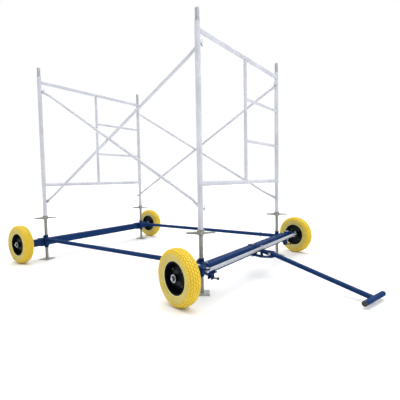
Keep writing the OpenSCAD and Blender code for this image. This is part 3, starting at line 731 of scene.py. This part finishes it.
bolts("front_beam_bolts", "beam_bolts", "structure", UP, lambda n: (*M12, 10.8 * MM, 3 * MM))
bolts("king_and_centre_pins", "steering_pins", "structure", UP,
      lambda n: (*(M24 if n < KINGPIN_UNDER else M20), 12 * MM, 1.5 * MM))
bolts("linkage_bolts", "tie_rod_bolts", "tie_rod", UP,
      lambda n: (*M12, 10.6 * MM, 3 * MM) if n < TIE_BOLT_UNDER else M12)
bolts("hinge_bolt", "drawbar_hinge_bolt", "yoke", -Vector(hinge["axis"]),
      lambda n: (*M14, 9.9 * MM, 1.8 * MM))

HALF_HUB = 45 * MM
AXLE_BORE, AXLE_NUT_FLATS = 20.3 * MM, 27 * MM
rear_nuts = Piece()
for corner in CORNERS:
    ahead = corner.startswith("front")
    outward = wheel_axis(corner)
    hub = along(outward, middle("tyre_" + corner))
    nut = Piece() if ahead else rear_nuts
    nut.add(washer(AXLE_BORE, 34 * MM, 1.1 * MM, 3.0 * MM), hub @ move(0, 0, HALF_HUB))
    nut.add(hexagon_nut(AXLE_NUT_FLATS, 8.8 * MM, AXLE_BORE),
            hub @ move(0, 0, HALF_HUB + 3.1 * MM))
    side = corner.split("_")[1]
    body = "knuckle_" + side if ahead else "structure"
    if ahead:
        put(nut.object("axle_nut_" + corner, dark_zinc, 32), body, "galvanised",
            "front_wheel_nut_" + side)
    elif side == "far":
        put(nut.object("axle_nuts_rear", dark_zinc, 32), body, "galvanised", "rear_wheel_nuts")
    tip = Piece()
    tip.add(helix(22.0 * MM, 1.2 * MM, 0.7 * MM, HALF_HUB + 11.6 * MM, HALF_HUB + 14.0 * MM, 40),
            hub)
    tip.add(lathe([(10.3 * MM, HALF_HUB + 13.6 * MM), (10.3 * MM, HALF_HUB + 14.0 * MM),
                   (9.4 * MM, HALF_HUB + 14.6 * MM), (2.4 * MM, HALF_HUB + 14.6 * MM),
                   (0.4 * MM, HALF_HUB + 14.3 * MM)], 40), hub)
    put(tip.object("axle_end_" + corner, galvanised, 32), body, "galvanised")

M10_THREAD = (9.9 * MM, 1.5 * MM, 0.9 * MM)     # diameter, pitch and depth
locks = Piece()
for points in shells("socket_lock_screws"):
    spot = Vector(points.mean(0))
    leg = min((Vector(joints["jack_nut_turn_" + c]["pos_m"]) for c in CORNERS),
              key=lambda p: (p.xy - spot.xy).length)
    away = (spot - leg) * Vector((1, 1, 0))
    place, length = reach(points, away)
    locks.add(helix(*M10_THREAD, 0, length - 0.8 * MM, 24), place)
    locks.add(lathe([(3.6 * MM, length - 1.2 * MM), (3.6 * MM, length - 0.4 * MM),
                     (3.0 * MM, length)], 24), place)
    locks.add(hexagon_nut(17 * MM, 8 * MM, 9.6 * MM), place @ move(0, 0, 5.6 * MM))
put(locks.object("lock_screws", black_steel, 32), "structure", "black_steel", "socket_lock_screws")

for side in ("near", "far"):
    node = "clamp_knob_" + side
    place, length = reach(shells(node)[0], (1, 0, 0))
    screw = Piece()
    screw.add(lathe([(2.6 * MM, 0), (4.1 * MM, 1.2 * MM), (4.1 * MM, 3 * MM)], 24), place)
    screw.add(helix(*M10_THREAD, 1.5 * MM, length - 14 * MM, 24), place)
    put(screw.object("hand_screw_" + side, black_steel, 32), node, "black_plastic", node)
    grip = lathe([(5.2 * MM, length - 18 * MM), (6.2 * MM, length - 17.6 * MM),
                  (8.4 * MM, length - 13.4 * MM), (10.4 * MM, length - 11.6 * MM),
                  (10.9 * MM, length - 10 * MM), (10.9 * MM, length - 4.6 * MM),
                  (10.2 * MM, length - 2.4 * MM), (7.8 * MM, length - 0.5 * MM),
                  (3 * MM, length - 0.1 * MM)],
                 96, wave=lambda a: 1 - 0.055 * np.clip(np.cos(a * 8), 0, 1) ** 2)
    put(Piece().add(grip, place).object("hand_knob_" + side, black_plastic, 50), node,
        "black_plastic")

CAP_REACH = 5 * MM      # how far an end cap stands out of its tube
cross = Vector(hinge["axis"]).normalized()
caps = Piece()
cap_shells = shells("handle_caps")
tee = Vector(sum(points.mean(0) for points in cap_shells) / 2)
for points in cap_shells:
    away = cross if (Vector(points.mean(0)) - tee).dot(cross) > 0 else -cross
    place, length = reach(points, away)
    stop = length - CAP_REACH
    caps.add(lathe([(11 * MM, 0), (15 * MM, 0), (15.7 * MM, 1 * MM), (15.7 * MM, stop - 0.1 * MM),
                    (18.7 * MM, stop + 0.05 * MM), (19 * MM, stop + 0.5 * MM),
                    (19 * MM, stop + 2.6 * MM), (18.4 * MM, length - 1 * MM),
                    (16.6 * MM, length - 0.2 * MM), (12 * MM, length)], 64), place)
put(caps.object("domed_caps", black_plastic), "drawbar", "black_plastic", "handle_caps")


# ---- weld beads ----

WELD_STEP = 0.9 * MM    # spacing of the points along a bead


def saddle(piece, centre, away, small, main, big, size=2.3 * MM):
    """Bead where a tube that leaves along `away` meets a tube along `main`."""
    centre, away, main = (np.array(v, float) for v in (centre, away, main))
    cross = np.cross(away, main)
    angle = np.arange(72)[:, None] * TAU / 72
    radial = np.cos(angle) * main + np.sin(angle) * cross
    out = np.sqrt(np.maximum(0, big ** 2 - (small * np.sin(angle)) ** 2))
    wrap = (small * np.sin(angle) * cross + out * away) / big
    piece.add(bead(centre + small * radial + out * away, size, radial + wrap, True))


def line(piece, start, end, normal, size=2.6 * MM, place=None):
    """Straight bead between two points."""
    start, end = np.array(start, float), np.array(end, float)
    count = max(8, int(np.linalg.norm(end - start) / WELD_STEP))
    share = np.linspace(0, 1, count)[:, None]
    normals = np.tile(np.array(normal, float), (count, 1))
    piece.add(bead(start + share * (end - start), size, normals), place)


# Scaffold frames: rails to legs, stile to rails, rungs to stile and leg
for end in ("rear", "front"):
    legs, rails, stile, rungs = (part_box(end + "_frame_" + part)
                                 for part in ("legs", "rails", "stile", "rungs"))
    leg_r, rail_r, stile_r, rung_r = ((high.x - low.x) / 2
                                      for low, high in (legs, rails, stile, rungs))
    x = (legs[0].x + legs[1].x) / 2
    leg_y = (legs[0].y + leg_r, legs[1].y - leg_r)
    stile_y = (stile[0].y + stile[1].y) / 2
    seams = Piece()
    for z, way in ((rails[0].z + rail_r, 1), (rails[1].z - rail_r, -1)):
        saddle(seams, (x, leg_y[0], z), (0, 1, 0), rail_r, UP, leg_r)
        saddle(seams, (x, leg_y[1], z), (0, -1, 0), rail_r, UP, leg_r)
        saddle(seams, (x, stile_y, z), (0, 0, way), stile_r, (0, 1, 0), rail_r)
    for z in (rungs[0].z + rung_r, rungs[1].z - rung_r):
        saddle(seams, (x, stile_y, z), (0, 1, 0), rung_r, UP, stile_r, 2 * MM)
        saddle(seams, (x, leg_y[1], z), (0, -1, 0), rung_r, UP, leg_r, 2 * MM)
    put(seams.object(end + "_frame_welds", frame_weld), "structure", "frame_paint")

# Chassis: the sleeves against the beams, and the side bars on the rear sleeves
SLEEVE_R = 22 * MM
SIDE_BAR_R = 20 * MM
FACE = 19.2 * MM                    # from a sleeve's axis to its seams with a beam
FRONT_SEAM = (37 * MM, 33 * MM)     # how far the seams go below and above a beam's middle
REAR_SEAM = (42 * MM, 42 * MM)
BEAM_HALF, BEAM_ROUND = 37.5 * MM, 8 * MM
COLLAR_HALF = 14 * MM
EXTENSION_SEAM = (19.6 * MM, 30.5 * MM)     # half width and half height of a barrel's seams
CORNER_STEPS = 7
chord = math.sqrt(SLEEVE_R ** 2 - FACE ** 2)
seams = Piece()
rear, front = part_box("rear_beam"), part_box("front_beam")
rear_z = (rear[0].z + rear[1].z) / 2
front_z = (front[0].z + front[1].z) / 2
for corner in CORNERS:
    leg = Vector(joints["jack_nut_turn_" + corner]["pos_m"])
    ahead = corner.startswith("front")
    way = 1 if ahead else -1
    level, (below, above) = (front_z, FRONT_SEAM) if ahead else (rear_z, REAR_SEAM)
    for s in (1, -1):
        x, y = leg.x + way * FACE, leg.y + s * chord
        line(seams, (x, y, level - below), (x, y, level + above), (-way, s, 0), 2.8 * MM)
    if not ahead:
        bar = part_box("side_bar_" + corner.split("_")[1])
        bar_z = (bar[0].z + bar[1].z) / 2
        saddle(seams, (leg.x, leg.y, bar_z), (1, 0, 0), SIDE_BAR_R, UP, SLEEVE_R)

# Both ends of the collar round the middle of the front beam: a path round its square section
beam_x = (front[0].x + front[1].x) / 2
mid_y = (front[0].y + front[1].y) / 2
turn = np.linspace(0, TAU / 4, CORNER_STEPS)
box_path, box_out = [], []
for k in range(4):
    spin = TAU / 4 * k
    c = (BEAM_HALF - BEAM_ROUND) * math.sqrt(2)
    corner_at = np.array([c * math.cos(spin + TAU / 8), c * math.sin(spin + TAU / 8)])
    for t in turn + spin:
        out = np.array([math.cos(t), math.sin(t)])
        box_path.append(corner_at + BEAM_ROUND * out)
        box_out.append(out)
box_path, box_out = np.array(box_path), np.array(box_out)
ring = np.vstack([box_path, box_path[:1]])
steps = np.linalg.norm(np.diff(ring, axis=0), axis=1)
run = np.concatenate([[0], np.cumsum(steps)])
fine = np.arange(0, run[-1] - 0.4 * MM, WELD_STEP)
loop_x, loop_z = np.interp(fine, run, ring[:, 0]), np.interp(fine, run, ring[:, 1])
outs = np.vstack([box_out, box_out[:1]])
out_x, out_z = np.interp(fine, run, outs[:, 0]), np.interp(fine, run, outs[:, 1])
for s in (1, -1):
    path = np.stack([beam_x + loop_x, np.full(len(fine), mid_y + s * COLLAR_HALF),
                     front_z + loop_z], 1)
    seams.add(bead(path, 2.8 * MM, np.stack([out_x, np.full(len(fine), s * 0.7), out_z], 1), True))

# Stub axles in the rear beam, the kingpin barrels, and the channels under the front beam
for corner in ("rear_near", "rear_far"):
    hub = along(-wheel_axis(corner), middle("tyre_" + corner))
    seams.add(bead(ring_path(24 * MM, 74.4 * MM), 2.2 * MM, ring_path(1, -0.7), True), hub)
for side, way in (("near", -1), ("far", 1)):
    pin = Vector(joints["kingpin_" + side]["pos_m"])
    y = pin.y - way * 12 * MM
    seam_x, seam_z = EXTENSION_SEAM
    for s in (1, -1):
        line(seams, (pin.x + s * seam_x, y, front_z - seam_z),
             (pin.x + s * seam_x, y, front_z + seam_z), (s, way, 0))
    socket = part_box("socket_front_" + side)
    shelf_z = front[0].z + 6 * MM - 8.3 * MM
    knob_at = Vector(joints["clamp_knob_turn_" + side]["pos_m"])
    line(seams, (socket[1].x, knob_at.y - 18 * MM, shelf_z),
         (socket[1].x, knob_at.y + 18 * MM, shelf_z), (1, 0, -1), 1.6 * MM)
put(seams.object("chassis_welds", blue_weld), "structure", "blue_paint")

# Knuckles: the fork's arms on its back plate, and the stub axle in it
for side, way in (("near", -1), ("far", 1)):
    pin = Vector(joints["kingpin_" + side]["pos_m"])
    out = wheel_axis("front_" + side)
    out.z = 0
    place = basis(out.cross(Vector(UP)) * -way, -out, UP, (pin.x, pin.y, 0))
    low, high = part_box("knuckle_" + side)
    wheel_z = middle("tyre_front_" + side).z
    seams = Piece()
    for z, up in ((low.z + 8 * MM, 1), (high.z - 8 * MM, -1)):
        line(seams, (-28 * MM, -45 * MM, z), (28 * MM, -45 * MM, z), (0, 1, up), 2.4 * MM, place)
    boss = along(out, (pin.x, pin.y, wheel_z))
    seams.add(bead(ring_path(16.2 * MM, 53.4 * MM), 2.6 * MM, ring_path(1, 0.7), True), boss)
    put(seams.object("knuckle_welds_" + side, blue_weld), "knuckle_" + side, "blue_paint")

# The drawbar on its T handle
back = (Vector(hinge["pos_m"]) - tee).normalized()
seams = Piece()
saddle(seams, tee, back, 19 * MM, cross, 19.3 * MM, 2.6 * MM)
put(seams.object("handle_welds", blue_weld), "drawbar", "blue_paint")


# ---- wheels ----

BLOCKS = 46             # tread blocks round the tyre
ROWS = 3                # rows of them on each side of the middle one
ROW, GAP, WALL = 13.5 * MM, 4.6 * MM, 0.9 * MM      # a row, the groove between rows, its wall

# Half section of the tyre, from the crown to the bead: radius and distance from the mid plane
SECTION = np.array([(203.0, 0), (202.3, 14), (199.4, 28), (193.2, 39), (184, 45.8), (172, 48.9),
                    (158, 49.4), (146, 48), (134, 45), (126, 42.4), (121.5, 40.6), (118.2, 38.4),
                    (116.6, 34.5), (116.4, 30)]) * MM


def smooth_section(points, per=14):
    """Catmull-Rom curve through the section's points, with its arc length."""
    first = points[0] * 2 - points[1]
    first[0] = points[1][0]
    padded = np.vstack([first, points, points[-1] * 2 - points[-2]])
    out = []
    for a, b, c, d in zip(padded, padded[1:], padded[2:], padded[3:]):
        for t in np.arange(per) / per:
            out.append(0.5 * (2 * b + (c - a) * t + (2 * a - 5 * b + 4 * c - d) * t * t
                              + (3 * b - 3 * c + d - a) * t ** 3))
    out.append(points[-1])
    out = np.array(out)
    length = np.concatenate([[0], np.cumsum(np.linalg.norm(np.diff(out, axis=0), axis=1))])
    return out, length


def tyre_shell():
    """The tyre about Z with its blocks, and where its points are tread, groove or bead."""
    curve, length = smooth_section(SECTION)
    slope = np.gradient(curve, length, axis=0)
    pitch = ROW + GAP
    # Each ring: its place along the section, its kind (0 on a row, 1 in a groove, 2 on the side
    # wall) and how far the blocks are turned there, as a share of one block
    stations = []
    for i in range(-ROWS, ROWS + 1):
        lean = 0.16 if i % 2 else -0.16
        phase = 0.5 * (i % 2)
        centre = i * pitch
        stations += [(centre - ROW / 2 - WALL, 1.0, phase - lean),
                     (centre - ROW / 2, 0.0, phase - lean), (centre, 0.0, phase),
                     (centre + ROW / 2, 0.0, phase + lean),
                     (centre + ROW / 2 + WALL, 1.0, phase + lean)]
    edge = ROWS * pitch + ROW / 2 + GAP
    wall = [(edge - WALL, 1.0, 0.0)] + [(s, 2.0, 0.0) for s in np.linspace(edge, length[-1], 22)]
    stations = [(-s, kind, turn) for s, kind, turn in wall[::-1]] + stations + wall
    # Round the tyre, each block starts with its groove, and its top follows
    fractions = np.array([0.0, 0.17, 0.21, 0.96])
    is_top = np.array([0.0, 0.0, 1.0, 1.0])
    step = TAU / BLOCKS
    base = ((np.arange(BLOCKS)[:, None] + fractions[None]) * step).ravel()
    tops = np.tile(is_top, BLOCKS)
    rings, tread, groove, bead_ring = [], [], [], []
    for s, kind, phase in stations:
        a = abs(s)
        r, y = np.interp(a, length, curve[:, 0]), np.interp(a, length, curve[:, 1])
        tr, ty = np.interp(a, length, slope[:, 0]), np.interp(a, length, slope[:, 1])
        normal = np.array([ty, -tr]) / math.hypot(tr, ty)
        depth = np.interp(a, [0, 45 * MM, edge], [4.2 * MM, 3.4 * MM, 1.8 * MM])
        if kind == 2.0:
            rib = 0.45 * MM * (math.exp(-((a - edge - 9 * MM) / (1.6 * MM)) ** 2)
                               + math.exp(-((a - edge - 13.5 * MM) / (1.2 * MM)) ** 2))
            sink = np.full(len(base), 0.45 * MM - rib)
        elif kind == 1.0:
            sink = np.full(len(base), depth)
        else:
            sink = depth * (1 - tops)
        radius, width = r - normal[0] * sink, y - normal[1] * sink
        angle = base + phase * step
        rings.append(np.stack([radius * np.cos(angle), radius * np.sin(angle),
                               math.copysign(1, s) * width if s else 0 * width], 1))
        tread.append(np.full(len(base), float(np.clip((edge + 6 * MM - a) / (9 * MM), 0, 1))))
        groove.append(np.clip(sink / depth, 0, 1) if kind != 2.0 else np.zeros(len(base)))
        bead_share = float(np.clip((a - length[-1] + 15 * MM) / (4 * MM), 0, 1))
        bead_ring.append(np.full(len(base), bead_share))
    attributes = {"tread": np.concatenate(tread), "groove": np.concatenate(groove),
                  "bead": np.concatenate(bead_ring)}
    return skin(rings, loop=True), attributes


RIM_BOLTS, RIM_BOLT_AT = 4, 70 * MM
tyre, tyre_facts = tyre_shell()
for corner in CORNERS:
    body = "wheel_" + corner
    place = along(wheel_axis(corner), middle("tyre_" + corner))
    obj = Piece().add(tyre, place).object("foam_tyre_" + corner, tyre_foam, 40, tyre_facts)
    put(obj, body, "tyre", "tyre_" + corner)

    # Hub ends: bright rings round dark bearing seals, on both sides of the hub
    ends = Piece()
    seals = Piece()
    for side in (1, -1):
        end = place @ along((0, 0, side), (0, 0, side * (HALF_HUB - 5 * MM)))
        ends.add(lathe(sized((27.1, 0), (28.2, 0.6), (28.2, 4.2), (27.2, 5.4), (21.5, 5.4),
                             (20.6, 5.1), (20.6, 4), (27.1, 4)), 48, loop=True), end)
        seals.add(lathe(sized((12.6, 5.05), (13.2, 5.5), (16, 5.45), (17, 5.2), (20.4, 5.3),
                              (20.4, 4), (12.6, 4)), 48, loop=True), end)
    put(ends.object("hub_rings_" + corner, galvanised), body, "galvanised")
    put(seals.object("bearing_seals_" + corner, black_steel), body, "black_steel")

    # Bolts through the web, and the weld round the hub
    web = Piece()
    for k in range(RIM_BOLTS):
        turn = math.radians(45 + 90 * k)
        spot = Vector((math.cos(turn), math.sin(turn), 0)) * RIM_BOLT_AT
        for side, lift in ((1, 5.2 * MM), (-1, 2.4 * MM)):
            at = place @ move(spot.x, spot.y, 0) @ along((0, 0, side), (0, 0, 0)) @ move(0, 0, lift)
            web.add(hexagon_head(13 * MM, 6 * MM), at)
            web.add(washer(8.5 * MM, 19 * MM, -1.5 * MM, 0.1 * MM), at)
    put(web.object("rim_bolts_" + corner, black_steel), body, "black_steel")
    welds = Piece()
    for z in (8.6 * MM, 1.4 * MM):
        welds.add(bead(ring_path(27.6 * MM, z), 2.6 * MM, ring_path(1, 0), True), place)
    put(welds.object("rim_welds_" + corner, rim_weld), body, "rim_paint")


# ---- floor, light, finish ----

floor_surface = Surface("floor")
grain = floor_surface.noise(3.0, 4.0)
floor_material = floor_surface.finish(
    floor_surface.mix(floor_surface.ramp(grain, 0.3, 0.7), (0.84, 0.84, 0.84), (0.86, 0.86, 0.86)),
    floor_surface.ramp(grain, 0.3, 0.7, 0.75, 0.85), floor_surface.bump(grain, 0.1, 0.0005))
floor_mesh = bpy.data.meshes.new("floor")
FLOOR_HALF, FLOOR_Z = 60, -0.0005
floor_mesh.from_pydata([(x * FLOOR_HALF, y * FLOOR_HALF, FLOOR_Z)
                        for x, y in ((-1, -1), (1, -1), (1, 1), (-1, 1))], [], [(0, 1, 2, 3)])
floor_mesh.materials.append(floor_material)
floor = bpy.data.objects.new("floor", floor_mesh)
scene.collection.objects.link(floor)

world = bpy.data.worlds.new("studio")
world.use_nodes = True
sky = world.node_tree.nodes


def sky_node(kind, links=(), values=(), **props):
    node = sky.new("ShaderNode" + kind)
    for key, value in props.items():
        setattr(node, key, value)
    for slot, value in values:
        node.inputs[slot].default_value = value
    for slot, source in links:
        world.node_tree.links.new(source, node.inputs[slot])
    return node


# White round the horizon, brighter overhead, darker above the horizon on the camera's side
way = sky_node("TexCoord").outputs["Generated"]
rise = sky_node("SeparateXYZ", [(0, way)]).outputs["Z"]
overhead = sky_node("MapRange", [(0, rise)], [(1, 0.5), (2, 0.9), (3, 1.0), (4, 3.0)])
toward = sky_node("VectorMath", [(0, way)], [(1, (0.57, -0.82, 0.0))], operation="DOT_PRODUCT")
facing = sky_node("MapRange", [(0, toward.outputs["Value"])],
                  [(1, 0.1), (2, 0.5), (3, 0.0), (4, 0.75)])
raised = sky_node("MapRange", [(0, rise)], [(1, 0.26), (2, 0.40), (3, 0.0), (4, 1.0)])
shadow = sky_node("Math", [(0, facing.outputs[0]), (1, raised.outputs[0])], operation="MULTIPLY")
light = sky_node("Math", [(1, shadow.outputs[0])], [(0, 1.0)], operation="SUBTRACT")
strength = sky_node("Math", [(0, overhead.outputs[0]), (1, light.outputs[0])], operation="MULTIPLY")
world.node_tree.links.new(strength.outputs[0], sky["Background"].inputs["Strength"])
sky["Background"].inputs["Color"].default_value = (1, 1, 1, 1)
scene.world = world
scene.view_settings.view_transform = "Standard"


def panel(name, at, target, size, power):
    """Rectangular light that faces a target."""
    light = bpy.data.lights.new(name, "AREA")
    light.shape = "RECTANGLE"
    light.size, light.size_y = size
    light.energy = power
    obj = bpy.data.objects.new(name, light)
    obj.location = at
    obj.rotation_mode = "QUATERNION"
    obj.rotation_quaternion = (Vector(target) - Vector(at)).to_track_quat("-Z", "Y")
    scene.collection.objects.link(obj)


panel("key", (6.5, -1.0, 4.5), (1.5, 0.6, 0.6), (4, 4), 70)
